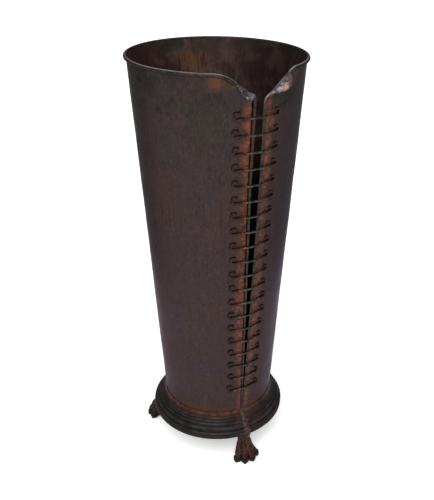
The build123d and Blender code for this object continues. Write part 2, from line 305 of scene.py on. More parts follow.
class Shader:
    """A material being wired up, with short names for the usual nodes."""

    def __init__(self, name):
        self.material = bpy.data.materials.new(name)
        self.material.use_nodes = True
        self.tree = self.material.node_tree
        self.surface = self.tree.nodes["Principled BSDF"]
        self.place = self.node("ShaderNodeTexCoord").outputs["Object"]
        split = self.node("ShaderNodeSeparateXYZ")
        self.tree.links.new(self.place, split.inputs[0])
        self.x, self.y, self.z = split.outputs

    def node(self, kind, **settings):
        made = self.tree.nodes.new(kind)
        for key, value in settings.items():
            setattr(made, key, value)
        return made

    def feed(self, socket, value):
        if isinstance(value, bpy.types.NodeSocket):
            self.tree.links.new(value, socket)
        else:
            socket.default_value = value

    def math(self, operation, *values, clamp=False):
        made = self.node("ShaderNodeMath", operation=operation, use_clamp=clamp)
        for socket, value in zip(made.inputs, values):
            self.feed(socket, value)
        return made.outputs[0]

    def plus(self, first, second):
        return self.math("ADD", first, second)

    def times(self, first, *others):
        for other in others:
            first = self.math("MULTIPLY", first, other)
        return first

    def apart(self, value, middle):
        """How far a value is from a middle one, either way."""
        return self.math("ABSOLUTE", self.math("SUBTRACT", value, middle))

    def axis_distance(self):
        return self.math("SQRT", self.plus(self.times(self.x, self.x), self.times(self.y, self.y)))

    def ramp(self, value, low, high, start=0.0, end=1.0, shape="SMOOTHSTEP"):
        """A step of a value, from start at low to end at high, smooth unless shape is LINEAR."""
        made = self.node("ShaderNodeMapRange", interpolation_type=shape)
        for socket, number in zip(made.inputs, (value, low, high, start, end)):
            self.feed(socket, number)
        return made.outputs[0]

    def stretched(self, scale):
        """The surface position, scaled by a factor along each axis."""
        made = self.node("ShaderNodeVectorMath", operation="MULTIPLY")
        self.feed(made.inputs[0], self.place)
        self.feed(made.inputs[1], scale)
        return made.outputs[0]

    def noise(self, scale, detail, roughness, stretch=(1, 1, 1), distortion=0.0):
        made = self.node("ShaderNodeTexNoise")
        self.feed(made.inputs["Vector"], self.stretched(stretch))
        settings = {"Scale": scale, "Detail": detail, "Roughness": roughness, "Distortion": distortion}
        for key, value in settings.items():
            made.inputs[key].default_value = value
        return made.outputs[0]

    def patches(self, low, high, scale, *settings, **more):
        """Patches of noise: 0 where it is under low, 1 where it is over high."""
        return self.ramp(self.noise(scale, *settings, **more), low, high)

    def blend(self, amount, first, second):
        """From the first colour to the second as the amount goes from 0 to 1."""
        made = self.node("ShaderNodeMix", data_type="RGBA", blend_type="MIX")
        self.feed(made.inputs["Factor"], amount)
        self.feed(made.inputs[6], first)
        self.feed(made.inputs[7], second)
        return made.outputs[2]

    def tint(self, colour, shade, *amounts):
        """Paints a shade over the colour, as strongly as the product of the amounts."""
        return self.blend(self.times(*amounts), colour, paint(*shade))

    def attribute(self, name):
        return self.node("ShaderNodeAttribute", attribute_name=name).outputs["Fac"]

    def bump(self, height, distance, strength, below=None):
        made = self.node("ShaderNodeBump")
        made.inputs["Strength"].default_value = strength
        made.inputs["Distance"].default_value = distance
        self.feed(made.inputs["Height"], height)
        if below is not None:
            self.feed(made.inputs["Normal"], below)
        return made.outputs[0]

    def finish(self, colour, roughness, metallic, normal):
        values = {"Base Color": colour, "Roughness": roughness, "Metallic": metallic, "Normal": normal}
        for key, value in values.items():
            self.feed(self.surface.inputs[key], value)
        return self.material


def paint(red, green, blue):
    """A colour given as display values from 0 to 255."""
    linear = []
    for part in (red, green, blue):
        share = part / 255
        linear.append(share / 12.92 if share <= 0.04045 else ((share + 0.055) / 1.055) ** 2.4)
    return (*linear, 1.0)


# ---- Materials ----

# Gloss seen at a grazing angle, kept low because the old metal is dull
EDGE_GLOSS = 0.3

# Heights between which each mark on the sheet comes in, downwards where the second is lower
BLOOM_RISE = (0.54, 0.66)
SPOT_RISE = (0.545, 0.585)
DULL_RISE = (0.56, 0.62)
SCRATCH_RISE = (0.18, 0.42)
BAND_NARROWS = (0.24, 0.09)
BAND_ENDS = (0.603, 0.585)
# Heights where the painted shadow along the hems fades out
HEM_SHADOW_ENDS = (0.600, 0.594)
COLLAR_RUST_RISE = (0.602, 0.614)
FOOT_RUST_RISE = (0.097, 0.083)
SHADE_RISE = (0.604, 0.622)
# Heights of the painted shade down in the depth inside
DEPTH_SHADE_RISE = (0.50, 0.30)
# Painted shade: the lapels' bright steel dims towards their tops
LAPEL_TOP_SHADE = (0.623, 0.609)
SHEEN_RISE = (0.46, 0.22)

# Where the rusty runs are on the inner back wall
RUNS_X = 0.014
RUNS_WIDTH = (0.034, 0.014)
RUNS_TOP = (0.614, 0.602)
RUNS_BOTTOM = (0.566, 0.582)

# Where the right lapel sticks out furthest and its bare metal has gone tan
LAPEL_TIP = (0.0350, -0.1270, 0.6100)
TAN_SPREAD = (14.0 * MM, 9.0 * MM)
TAN_RAGGED = 14 * MM


class SheetShader(Shader):
    """The body's shader, with each place's angle from the front and the shared noises."""

    def __init__(self, name):
        super().__init__(name)
        self.angle = self.math("ARCTAN2", self.x, self.times(self.y, -1.0))
        self.reach = self.times(self.math("ABSOLUTE", self.angle), self.axis_distance())
        self.off_back = self.ramp(self.math("COSINE", self.angle), -0.97, -0.55)
        self.broad = self.noise(11, 3, 0.6)
        self.middle = self.noise(38, 4, 0.6, distortion=0.6)
        self.fine = self.noise(230, 5, 0.65)
        self.streaks = self.noise(330, 3, 0.6, stretch=(1, 1, 0.06), distortion=0.5)
        self.runs = self.noise(42, 3, 0.6, stretch=(1, 1, 0.14))
        self.shine = self.attribute("shine")


def brown_ground(s):
    """The mottled brown and purple under everything else outside."""
    colour = s.blend(s.ramp(s.broad, 0.38, 0.62), paint(58, 45, 44), paint(54, 45, 48))
    colour = s.tint(colour, (59, 49, 46), s.ramp(s.middle, 0.48, 0.70))
    colour = s.tint(colour, (66, 51, 48), s.ramp(s.runs, 0.50, 0.72), 0.35)
    left = s.times(s.ramp(s.angle, -0.9, -1.5, 0.0, 0.5), s.off_back)
    return s.tint(colour, (61, 50, 51), left)


def green_bloom(s, colour):
    """A green-grey bloom on the upper part, with a few dark spots in it."""
    high = s.ramp(s.plus(s.z, s.times(s.broad, 0.16)), *BLOOM_RISE)
    bloom = s.times(high, s.patches(0.40, 0.60, 19, 4, 0.6), 0.8)
    colour = s.tint(colour, (49, 47, 43), bloom)
    spots = s.times(s.ramp(s.z, *SPOT_RISE), s.patches(0.57, 0.67, 62, 3, 0.6), 0.7)
    colour = s.tint(colour, (27, 27, 25), spots)
    duller = s.times(s.ramp(s.z, *DULL_RISE), s.patches(0.44, 0.60, 27, 3, 0.6), 0.6)
    return s.tint(colour, (36, 31, 31), duller)


def scratches(s, colour):
    """Fine upright scratches, strongest on the upper half."""
    lines = s.times(s.ramp(s.streaks, 0.54, 0.70), s.ramp(s.z, *SCRATCH_RISE, 0.25, 0.7))
    colour = s.tint(colour, (38, 29, 28), lines, s.ramp(s.runs, 0.36, 0.60))
    pale = s.times(s.ramp(s.streaks, 0.44, 0.32), s.patches(0.48, 0.62, 23, 3, 0.6), 0.15)
    return s.tint(colour, (82, 66, 58), pale)


def speckle(s, colour):
    """Light and dark specks all over, and patches of pitting."""
    colour = s.tint(colour, (74, 63, 60), s.ramp(s.fine, 0.53, 0.74), 0.50)
    colour = s.tint(colour, (34, 27, 28), s.ramp(s.fine, 0.46, 0.27), 0.50)
    pitted = s.noise(470, 3, 0.7, stretch=(1, 1, 0.35))
    patch = s.patches(0.38, 0.62, 16, 4, 0.65)
    pits = s.times(s.ramp(pitted, 0.50, 0.70), s.ramp(patch, 0.0, 1.0, 0.15, 0.45))
    colour = s.tint(colour, (40, 32, 31), pits)
    return s.tint(colour, (80, 70, 68), s.ramp(pitted, 0.48, 0.30), 0.16)


def lacing_rust(s, colour):
    """Copper rust along both sides of the lacing, narrower towards the foot."""
    spread = s.times(s.reach, s.ramp(s.z, *BAND_NARROWS, 1.0, 2.0))
    band = s.ramp(s.plus(spread, s.times(s.middle, 0.020)), 0.036, 0.021)
    rust = s.times(band, s.patches(0.36, 0.54, 95, 5, 0.68), s.ramp(s.z, *BAND_ENDS))
    tone = s.blend(s.patches(0.4, 0.62, 260, 4, 0.6), paint(72, 42, 32), paint(124, 72, 46))
    greenish = s.times(s.patches(0.50, 0.66, 55, 3, 0.5), s.ramp(s.z, 0.26, 0.42))
    tone = s.tint(tone, (74, 64, 48), greenish)
    tone = s.tint(tone, (140, 84, 56), s.ramp(s.z, 0.40, 0.56, 0.0, 0.45))
    tone = s.tint(tone, (88, 52, 41), s.ramp(s.z, 0.30, 0.12, 0.0, 0.6))
    return s.blend(s.times(rust, 0.9), colour, tone), rust


def hem_shadow_lines(s, colour):
    """Painted shadow: the dark line where each hem lies on the sheet."""
    bottom, knee, top = SLIT_BOTTOM_HALF + HEM_BOTTOM, SLIT_KNEE_HALF + HEM_KNEE, SLIT_TOP_HALF + ROLL
    hem = s.ramp(s.z, SLIT_BOTTOM, SLIT_KNEE, bottom, knee, shape="LINEAR")
    hem = s.plus(hem, s.ramp(s.z, SLIT_KNEE, SLIT_TOP, 0.0, top - knee, shape="LINEAR"))
    hem_shadow = s.ramp(s.apart(s.reach, hem), 1.1 * MM, 0.35 * MM)
    return s.tint(colour, (14, 10, 9), hem_shadow, s.ramp(s.z, *HEM_SHADOW_ENDS), 0.9)


def collar_and_foot_rust(s, colour):
    """Rust tucked under the collar and where the body meets the moulding."""
    tucked = s.times(s.ramp(s.z, *COLLAR_RUST_RISE), s.ramp(s.reach, 0.078, 0.056))
    tucked = s.times(tucked, s.patches(0.42, 0.58, 60, 4, 0.6), 0.8)
    stained = s.blend(s.patches(0.44, 0.58, 75, 3, 0.6), paint(94, 57, 43), paint(72, 62, 48))
    colour = s.blend(tucked, colour, stained)
    foot = s.times(s.ramp(s.z, *FOOT_RUST_RISE), s.ramp(s.middle, 0.36, 0.56), 0.7)
    return s.tint(colour, (82, 48, 36), foot)


def rusty_runs(s, colour):
    """Rust that has run down the inner back wall, with dark drips in it."""
    runny = s.times(s.ramp(s.apart(s.x, RUNS_X), *RUNS_WIDTH), s.ramp(s.y, 0.0, 0.06))
    runny = s.times(runny, s.ramp(s.z, *RUNS_TOP), s.ramp(s.z, *RUNS_BOTTOM))
    runny = s.times(runny, s.patches(0.38, 0.56, 95, 4, 0.65, stretch=(1, 1, 0.35)))
    colour = s.tint(colour, (140, 100, 78), runny, 0.65)
    drips = s.times(runny, s.patches(0.55, 0.62, 230, 2, 0.5, stretch=(1, 1, 0.1)), 0.8)
    return s.tint(colour, (48, 32, 30), drips)


def lining(s):
    """The inside: maroon brown, greener by the rim, with painted shade turning it black down in the
    depth.
    """
    colour = s.blend(s.ramp(s.middle, 0.40, 0.62), paint(82, 64, 60), paint(102, 84, 76))
    colour = s.tint(colour, (56, 40, 40), s.ramp(s.streaks, 0.50, 0.72), 0.6)
    shade = s.times(s.ramp(s.z, *SHADE_RISE), s.patches(0.34, 0.58, 40, 4, 0.6), 0.8)
    colour = s.tint(colour, (56, 58, 52), shade)
    colour = rusty_runs(s, colour)
    colour = s.tint(colour, (44, 31, 35), s.ramp(s.x, 0.04, 0.10, 0.0, 0.55))
    maroon = s.times(s.ramp(s.x, -0.015, -0.07), s.patches(0.40, 0.60, 24, 4, 0.6), 0.75)
    colour = s.tint(colour, (98, 58, 62), maroon)
    # Painted shade: black down in the depth
    return s.tint(colour, (18, 12, 12), s.ramp(s.z, *DEPTH_SHADE_RISE, 0.0, 0.9))


def facing_in(s):
    """1 where the surface faces the axis and 0 where it faces out."""
    outward = s.node("ShaderNodeVectorMath", operation="DOT_PRODUCT")
    s.feed(outward.inputs[0], s.node("ShaderNodeNewGeometry").outputs["Normal"])
    s.feed(outward.inputs[1], s.stretched((1, 1, 0)))
    return s.ramp(outward.outputs["Value"], 0.0, -0.02)


def tan_tip(s):
    """The ragged tan spot on the right lapel."""
    tip = s.node("ShaderNodeVectorMath", operation="DISTANCE")
    s.feed(tip.inputs[0], s.place)
    s.feed(tip.inputs[1], LAPEL_TIP)
    ragged = s.plus(tip.outputs["Value"], s.times(s.noise(140, 3, 0.6), TAN_RAGGED))
    return s.times(s.ramp(ragged, *TAN_SPREAD), s.shine, 0.85)


def turned_edge(s, colour):
    """Grey metal on the rim, hems and lapels: bright bare steel on the lapels that is partly painted
    highlight, painted glints on the left lapel, a painted highlight along the rim's crest that is partly
    burnish and strongest where it is handled, and painted shade where the roll tucks in.
    """
    grubby = s.blend(s.patches(0.36, 0.62, 150, 4, 0.6), paint(38, 35, 32), paint(58, 54, 50))
    colour = s.blend(s.times(s.attribute("edge"), 0.8), colour, grubby)
    # Bare steel on the lapels, partly a painted highlight where the flaps face up, with painted shade
    # dimming their upper part
    rubbed_and_highlight = s.times(s.shine, s.patches(0.34, 0.56, 170, 4, 0.6))
    rubbed_and_highlight = s.times(rubbed_and_highlight, s.ramp(s.z, *LAPEL_TOP_SHADE, 0.35, 1.0))
    steel = s.blend(s.patches(0.40, 0.62, 62, 3, 0.6), paint(90, 80, 90), paint(132, 122, 130))
    colour = s.blend(rubbed_and_highlight, colour, steel)
    # Painted glints: near-white specks on the left lapel's rough metal
    painted_glints = s.times(s.shine, s.patches(0.60, 0.70, 420, 2, 0.5))
    painted_glints = s.times(painted_glints, s.ramp(s.x, 0.004, -0.004, 0.2, 0.9))
    colour = s.tint(colour, (205, 198, 198), painted_glints)
    colour = s.tint(colour, (160, 116, 88), tan_tip(s))
    # Painted highlight along the rim's crest, partly burnish from handling
    handled_highlight = s.times(s.attribute("crest_highlight"), s.ramp(s.noise(60, 3, 0.6), 0.28, 0.50, 0.5, 1.0))
    colour = s.tint(colour, (166, 158, 163), handled_highlight)
    # Painted shade where the roll tucks against the sheet and at the lapels' folds
    return s.tint(colour, (12, 9, 9), s.attribute("groove_shade"))


def sheet_relief(s):
    relief = s.bump(s.middle, 0.6 * MM, 0.5)
    relief = s.bump(s.streaks, 0.20 * MM, 0.6, below=relief)
    return s.bump(s.noise(420, 4, 0.6), 0.12 * MM, 0.6, below=relief)


def body_material():
    """Dark bronzed sheet: mottled brown, purple and green-grey, rusted by the lacing."""
    s = SheetShader("body_patina")
    colour = speckle(s, scratches(s, green_bloom(s, brown_ground(s))))
    # Painted sheen: the right side lighter and bluer
    right_side_sheen = s.times(s.ramp(s.angle, 0.30, 0.80, 0.0, 0.5), s.off_back)
    colour = s.tint(colour, (72, 68, 73), right_side_sheen)
    colour, rust = lacing_rust(s, colour)
    # painted shadow along the hems, then rust under the collar and at the foot
    colour = collar_and_foot_rust(s, hem_shadow_lines(s, colour))
    inside = facing_in(s)
    colour = turned_edge(s, s.blend(inside, colour, lining(s)))
    rough = s.ramp(s.middle, 0.3, 0.7, 0.36, 0.50)
    rough = s.plus(s.plus(rough, s.times(rust, 0.25)), s.times(inside, 0.10))
    rough = s.math("ADD", rough, s.times(s.shine, 0.05), clamp=True)
    metal = s.math("SUBTRACT", 0.85, s.times(rust, 0.65))
    sheen = s.blend(s.ramp(s.z, *SHEEN_RISE), (0.20, 0.17, 0.20, 1), (0.50, 0.47, 0.52, 1))
    s.feed(s.surface.inputs["Specular Tint"], sheen)
    s.surface.inputs["Specular IOR Level"].default_value = EDGE_GLOSS
    return s.finish(colour, rough, metal, sheet_relief(s))


def wire_material():
    """Dull grey wire over the slit, coppery beside it and dark brown on its hooks."""
    s = Shader("lacing_wire")
    reach = s.math("ABSOLUTE", s.x)
    blotch = s.noise(160, 4, 0.6)
    grain = s.noise(600, 4, 0.6)
    colour = s.blend(s.ramp(blotch, 0.4, 0.62), paint(50, 48, 46), paint(80, 77, 74))
    uneven = s.plus(reach, s.times(blotch, 0.006))
    stain = s.blend(s.patches(0.42, 0.60, 240, 4, 0.6), paint(70, 50, 44), paint(100, 72, 60))
    colour = s.blend(s.ramp(uneven, 0.010, 0.015), colour, stain)
    dark = s.ramp(uneven, 0.018, 0.023)
    hook = s.blend(s.patches(0.42, 0.60, 240, 4, 0.6), paint(44, 31, 27), paint(66, 43, 36))
    colour = s.blend(dark, colour, hook)
    rough = s.ramp(grain, 0.3, 0.7, 0.28, 0.44)
    rough = s.plus(rough, s.times(dark, 0.16))
    metal = s.math("SUBTRACT", 0.95, s.times(dark, 0.25))
    s.surface.inputs["Specular Tint"].default_value = (0.4, 0.4, 0.4, 1)
    return s.finish(colour, rough, metal, s.bump(grain, 0.15 * MM, 0.7))


def moulding_material():
    """Near-black cast metal: ridges rubbed grey with painted highlights, grooves grimy and darkened with
    painted shade, rust in the top cove.
    """
    s = Shader("moulding_iron")
    radius = s.axis_distance()
    middle = s.noise(45, 4, 0.6)
    fine = s.noise(210, 5, 0.6)
    colour = s.blend(s.ramp(middle, 0.40, 0.62), paint(28, 26, 28), paint(34, 33, 31))
    colour = s.tint(colour, (50, 46, 45), s.ramp(fine, 0.52, 0.74), 0.6)
    # Ridges rubbed grey, partly a painted highlight
    rubbed_and_highlight = s.times(s.attribute("edge"), s.patches(0.36, 0.58, 60, 4, 0.6))
    colour = s.tint(colour, (60, 54, 56), rubbed_and_highlight, 0.55)
    # Grooves darkened: grime and painted shade
    grime_and_shade = s.times(s.attribute("groove_shade"), 0.85)
    colour = s.tint(colour, (19, 18, 17), grime_and_shade)
    green = s.times(s.patches(0.48, 0.62, 28, 3, 0.6), s.math("SUBTRACT", 0.5, rubbed_and_highlight))
    colour = s.tint(colour, (33, 38, 32), green)
    nearby = s.ramp(s.math("ABSOLUTE", s.x), 0.040, 0.006, 0.2, 0.6)
    nearby = s.times(nearby, s.ramp(s.y, -0.03, -0.07, 0.5, 1.0))
    redness = s.patches(0.42, 0.62, 75, 4, 0.65, stretch=(0.5, 0.5, 2.5))
    redness = s.times(redness, nearby)
    colour = s.tint(colour, (70, 50, 49), redness)
    cove = s.times(s.ramp(radius, 0.0930, 0.0905), s.patches(0.30, 0.54, 70, 4, 0.6))
    tone = s.blend(s.ramp(fine, 0.42, 0.60), paint(46, 29, 25), paint(72, 45, 35))
    in_front = s.ramp(s.apart(s.x, -0.022), 0.060, 0.020)
    bright = s.times(in_front, s.patches(0.40, 0.60, 90, 3, 0.6))
    tone = s.tint(tone, (90, 54, 39), bright)
    line = s.ramp(s.apart(radius, 0.0906), 0.0006, 0.0002)
    tone = s.tint(tone, (40, 20, 17), line)
    colour = s.blend(s.times(cove, 0.9), colour, tone)
    rough = s.plus(s.ramp(middle, 0.3, 0.7, 0.36, 0.50), s.times(cove, 0.2))
    metal = s.math("SUBTRACT", 0.8, s.times(cove, 0.6))
    s.surface.inputs["Specular Tint"].default_value = (0.35, 0.33, 0.36, 1)
    s.surface.inputs["Specular IOR Level"].default_value = EDGE_GLOSS
    relief = s.bump(middle, 0.5 * MM, 0.5)
    return s.finish(colour, rough, metal, s.bump(fine, 0.25 * MM, 0.7, below=relief))


def paw_material():
    """Cast iron, rusty red-brown, darkened with painted shade in the creases and low down on the toes
    and claws.
    """
    s = Shader("paw_iron")
    middle = s.noise(110, 4, 0.6)
    fine = s.noise(420, 5, 0.65)
    colour = s.blend(s.ramp(middle, 0.38, 0.60), paint(48, 32, 28), paint(72, 46, 39))
    colour = s.tint(colour, (88, 66, 58), s.ramp(fine, 0.50, 0.72), 0.6)
    to_right = s.ramp(s.x, -0.004, 0.008, 0.3, 0.85)
    greyed = s.times(s.patches(0.42, 0.58, 45, 3, 0.6), to_right)
    colour = s.tint(colour, (50, 45, 44), greyed)
    colour = s.tint(colour, (34, 27, 28), s.ramp(s.y, -0.06, 0.0, 0.0, 0.6))
    # Painted shade low down, by the floor
    low = s.ramp(s.plus(s.z, s.times(middle, 0.012)), 0.028, 0.012)
    colour = s.tint(colour, (26, 22, 22), low, 0.85)
    # Painted shade in the creases
    colour = s.tint(colour, (12, 8, 8), s.attribute("groove_shade"), 0.95)
    rough = s.ramp(fine, 0.3, 0.7, 0.40, 0.58)
    metal = s.ramp(middle, 0.35, 0.65, 0.45, 0.70)
    s.surface.inputs["Specular Tint"].default_value = (0.4, 0.35, 0.35, 1)
    s.surface.inputs["Specular IOR Level"].default_value = EDGE_GLOSS
    relief = s.bump(middle, 0.5 * MM, 0.6)
    return s.finish(colour, rough, metal, s.bump(fine, 0.3 * MM, 0.8, below=relief))


def weld_material():
    """A lumpy bead, pinkish brown with rust in its hollows."""
    s = Shader("weld_bead")
    middle = s.noise(170, 4, 0.6)
    fine = s.noise(520, 4, 0.6)
    colour = s.blend(s.ramp(middle, 0.38, 0.62), paint(46, 33, 31), paint(74, 56, 54))
    colour = s.tint(colour, (32, 22, 21), s.ramp(fine, 0.48, 0.66), 0.7)
    rough = s.ramp(fine, 0.3, 0.7, 0.38, 0.58)
    s.surface.inputs["Specular IOR Level"].default_value = EDGE_GLOSS
    return s.finish(colour, rough, s.ramp(middle, 0.35, 0.65, 0.5, 0.8), s.bump(fine, 0.3 * MM, 0.8))


def plate_material():
    """Brown stained plate, seen down the inside and from below."""
    s = Shader("plate_brown")
    middle = s.noise(30, 5, 0.65)
    fine = s.noise(260, 4, 0.6)
    colour = s.blend(s.ramp(middle, 0.36, 0.62), paint(36, 27, 26), paint(58, 42, 36))
    colour = s.tint(colour, (84, 54, 40), s.ramp(fine, 0.52, 0.74), 0.5)
    rough = s.ramp(middle, 0.3, 0.7, 0.45, 0.65)
    return s.finish(colour, rough, s.ramp(fine, 0.3, 0.7, 0.7, 0.4), s.bump(fine, 0.2 * MM, 0.7))


def steel_material():
    """Dull plated screws, washers and wire core."""
    s = Shader("dull_steel")
    middle = s.noise(220, 4, 0.6)
    fine = s.noise(700, 4, 0.6)
    colour = s.blend(s.ramp(middle, 0.38, 0.62), paint(96, 92, 88), paint(70, 58, 50))
    return s.finish(colour, s.ramp(fine, 0.3, 0.7, 0.3, 0.5), s.ramp(middle, 0.3, 0.7, 0.95, 0.7),
                    s.bump(fine, 0.15 * MM, 0.6))


def floor_material():
    """Matt white paper with a trace of unevenness."""
    s = Shader("white_paper")
    faint = s.noise(3, 2, 0.5)
    colour = s.blend(s.ramp(faint, 0.3, 0.7), (0.93, 0.93, 0.93, 1), (0.91, 0.91, 0.91, 1))
    s.surface.inputs["Emission Color"].default_value = (1.0, 1.0, 1.0, 1)
    s.surface.inputs["Emission Strength"].default_value = 0.35
    return s.finish(colour, 0.9, 0.0, s.bump(s.noise(900, 2, 0.5), 0.05 * MM, 0.2))


def dress(piece, material):
    piece.data.materials.clear()
    piece.data.materials.append(material)


# ---- Body shell ----

COLUMNS = 300
STATIONS = 18
ROLL_TURN = math.radians(272)
LAPEL_BEND = 2.4 * MM
CLOSED_SEAM = 0.02 * MM
DRILL_SIDES = 20

# The collar line on each side from the throat to the rim: (reach, drop below the rim)
COLLAR = {
    1: [(7.9, 33.2), (30.4, 16.4), (52.5, 0.0)],
    -1: [(7.9, 28.3), (17.8, 24.0), (47.4, 0.0)],
}
COLLAR_BENDS = {1: [7, 60, 26], -1: [5, 12, 45]}

# Each lapel: the reaches where it starts, is full, is full to and stops, its length,
# its fold in degrees, how battered it is, and how bright its bare steel and painted highlight are
Lapel = namedtuple("Lapel", "start full full_to stop length fold seed rough bright")
LAPEL = {
    1: Lapel(9, 31, 33, 53, 11.8, 119, 11.0, 0.24, 1.0),
    -1: Lapel(7.2, 14, 25, 36, 9.2, 128, 23.0, 0.50, 0.95),
}
THROAT_BAND = 6 * MM


def edge_route(side):
    """Half of the sheet's free edge as (reach, height): slit, collar, then rim."""
    corners = [(SLIT_BOTTOM_HALF, SLIT_BOTTOM), (SLIT_KNEE_HALF, SLIT_KNEE)]
    corners += [(reach * MM, RIM_LEVEL - drop * MM) for reach, drop in COLLAR[side]]
    corners.append((math.pi * body_radius(RIM_LEVEL), RIM_LEVEL))
    corners = [Vector((reach, height, 0)) for reach, height in corners]
    return rounded(corners, [400 * MM] + [bend * MM for bend in COLLAR_BENDS[side]], 1.5 * MM)


def lapel_length(side, reach, height):
    """Length of the flap folded out from the collar line at this place."""
    if height < SLIT_TOP - THROAT_BAND:
        return 0.0
    lapel = LAPEL[side]
    rise = smooth(lapel.start * MM, lapel.full * MM, reach)
    fall = smooth(lapel.stop * MM, lapel.full_to * MM, reach)
    return lapel.length * MM * rise * fall


def edge_thickness(size):
    """The sheet's thickness in a turned edge of this outer radius, thin where it is tight."""
    return min(SHEET, 0.55 * size)


def edge_profile(size, flap, turned):
    """Middle line of the turned edge: (away from the sheet, outwards, share of the turn)."""
    roll = size - edge_thickness(size) / 2
    share = smooth(0.0, 5 * MM, flap)
    curve = LAPEL_BEND * turned
    line = [(-0.6 * MM, 0.0, 0.0)]
    for n in range(STATIONS + 1):
        t = n / STATIONS
        turn = ROLL_TURN * t
        rolled = (roll * math.sin(turn), roll * (1 - math.cos(turn)))
        run = (curve + flap) * t
        bent = min(run, curve) / LAPEL_BEND
        on = max(0.0, run - curve)
        droop = 8.0 * on * on
        folded = (
            LAPEL_BEND * math.sin(bent) + on * math.cos(turned) - droop,
            LAPEL_BEND * (1 - math.cos(bent)) + on * math.sin(turned),
        )
        line.append((mix(rolled[0], folded[0], share), mix(rolled[1], folded[1], share), t))
    return line


def thick_loop(line, thickness):
    """A closed outline this thick around a middle line, each point with its share."""
    left, right = [], []
    for n, (u, v, t) in enumerate(line):
        before, after = line[max(n - 1, 0)], line[min(n + 1, len(line) - 1)]
        du, dv = after[0] - before[0], after[1] - before[1]
        size = math.hypot(du, dv) or 1.0
        taper = 0.8 if n == len(line) - 1 else 1.0
        nu, nv = -dv / size * thickness / 2 * taper, du / size * thickness / 2 * taper
        left.append((u + nu, v + nv, t))
        right.append((u - nu, v - nv, t))
    return left + right[::-1]


def across_edge(middle, n, angle):
    """Unit directions at a point of the edge: out of the sheet, and away from it."""
    along = (middle[min(n + 1, len(middle) - 1)] - middle[max(n - 1, 0)]).normalized()
    outward = around(angle, 1.0, -TAPER)
    outward = (outward - along * outward.dot(along)).normalized()
    return outward, outward.cross(along)


def battered(spot, outward, away, wave, far, seed):
    """A point of the edge, moved by the rim's wave or hand work and, on a lapel, by knocks."""
    out = 0.06 * MM * lumps(spot, 6 * MM, 3.0) if wave is None else wave
    bang = lumps(spot, 5.5 * MM, seed) * 0.9 * MM + lumps(spot, 2.6 * MM, seed) * 0.35 * MM
    return spot + outward * out + (away * 0.8 + outward * 0.25) * bang * far


def edge_marks(t, crease, highlight_and_wear, bright):
    """Crest highlight, lapel shine and groove shade at a share of the turn, for the material to read: a
    painted highlight on the roll's crest and painted shade where it tucks against the sheet.
    """
    ridge = smooth(0.14, 0.26, t) * smooth(0.50, 0.38, t)
    fold = smooth(0.01, 0.07, t) * smooth(0.28, 0.16, t)
    # painted highlight along the top of the roll and of the lapel fold
    crest_highlight = mix(ridge, fold * 0.8, crease) * highlight_and_wear
    # lapel shine: bare steel, partly a painted highlight
    shine = mix(0.9, 0.5, smooth(0.5, 1.0, t)) * crease * bright
    # painted shade in the tuck of the roll and at the foot of each lapel's fold
    groove_shade = smooth(0.80, 0.98, t) * (1 - crease) + smooth(0.10, 0.0, t) * crease * 0.3
    return crest_highlight, shine, groove_shade


def edge_strip():
    """The rolled rim, the hems and the lapels, as one strip along the free edge."""
    route = [(1, p.x / body_radius(p.y), p.x, p.y) for p in edge_route(1)]
    route += [(-1, -p.x / body_radius(p.y), p.x, p.y) for p in reversed(edge_route(-1)[:-1])]
    middle = [around(angle, body_radius(z) - SHEET / 2, z) for _, angle, _, z in route]
    loops, marks = [], []
    for n, (side, angle, reach, height) in enumerate(route):
        lapel = LAPEL[side]
        outward, away = across_edge(middle, n, angle)
        flap = lapel_length(side, reach, height)
        crease = smooth(0.0, 5 * MM, flap)
        size = hem_size(height)
        turned = math.radians(lapel.fold) + 0.14 * lumps(middle[n], 9 * MM, lapel.seed)
        # Painted highlight on the rim's crest, strongest at the front left where it is handled
        handled_highlight = smooth(1.2, 0.5, angle) if side > 0 else smooth(2.4, 1.0, -angle)
        upper = smooth(SLIT_TOP - 12 * MM, SLIT_TOP + 3 * MM, height)
        highlight_and_wear = mix(0.08, 0.95, handled_highlight) * mix(0.12, 1.0, upper)
        wave = None
        if height > RIM_LEVEL - 1 * MM:
            wave = 0.10 * MM * lumps(middle[n], 30 * MM, 5.0) - 0.12 * MM
        loop = []
        for u, v, t in thick_loop(edge_profile(size, flap, turned), edge_thickness(size)):
            spot = middle[n] + away * u + outward * v
            far = smooth(0.0, 12 * MM, v) * crease * lapel.rough
            loop.append(battered(spot, outward, away, wave, far, lapel.seed))
            marks.append(edge_marks(t, crease, highlight_and_wear, lapel.bright))
        loops.append(loop)
    piece = mesh_object("edge_strip", *skin(loops))
    set_attribute(piece, "edge", [1.0] * len(piece.data.vertices))
    for name, values in zip(("crest_highlight", "shine", "groove_shade"), zip(*marks)):
        set_attribute(piece, name, values)
    return piece


def reach_at(route, height):
    """Arc distance from the slit to the free edge at a height."""
    for a, b in zip(route, route[1:]):
        if b.y >= height - 1e-7:
            return mix(a.x, b.x, min(max((height - a.y) / max(b.y - a.y, 1e-9), 0.0), 1.0))
    return route[-1].x


def row_heights():
    """Heights of the wall's rows, closest together round the collar."""
    low = [PLATE_TOP + (SLIT_BOTTOM - PLATE_TOP) * n / 8 for n in range(8)]
    throat = SLIT_TOP - THROAT_BAND
    rows = int((SLIT_TOP - SLIT_BOTTOM) / (4 * MM))
    beside_slit = [mix(SLIT_BOTTOM, throat, n / rows) for n in range(rows)]
    rows = int((RIM_LEVEL - SLIT_TOP + THROAT_BAND) / (1 * MM))
    return low + beside_slit + [mix(throat, RIM_LEVEL, n / rows) for n in range(rows + 1)]


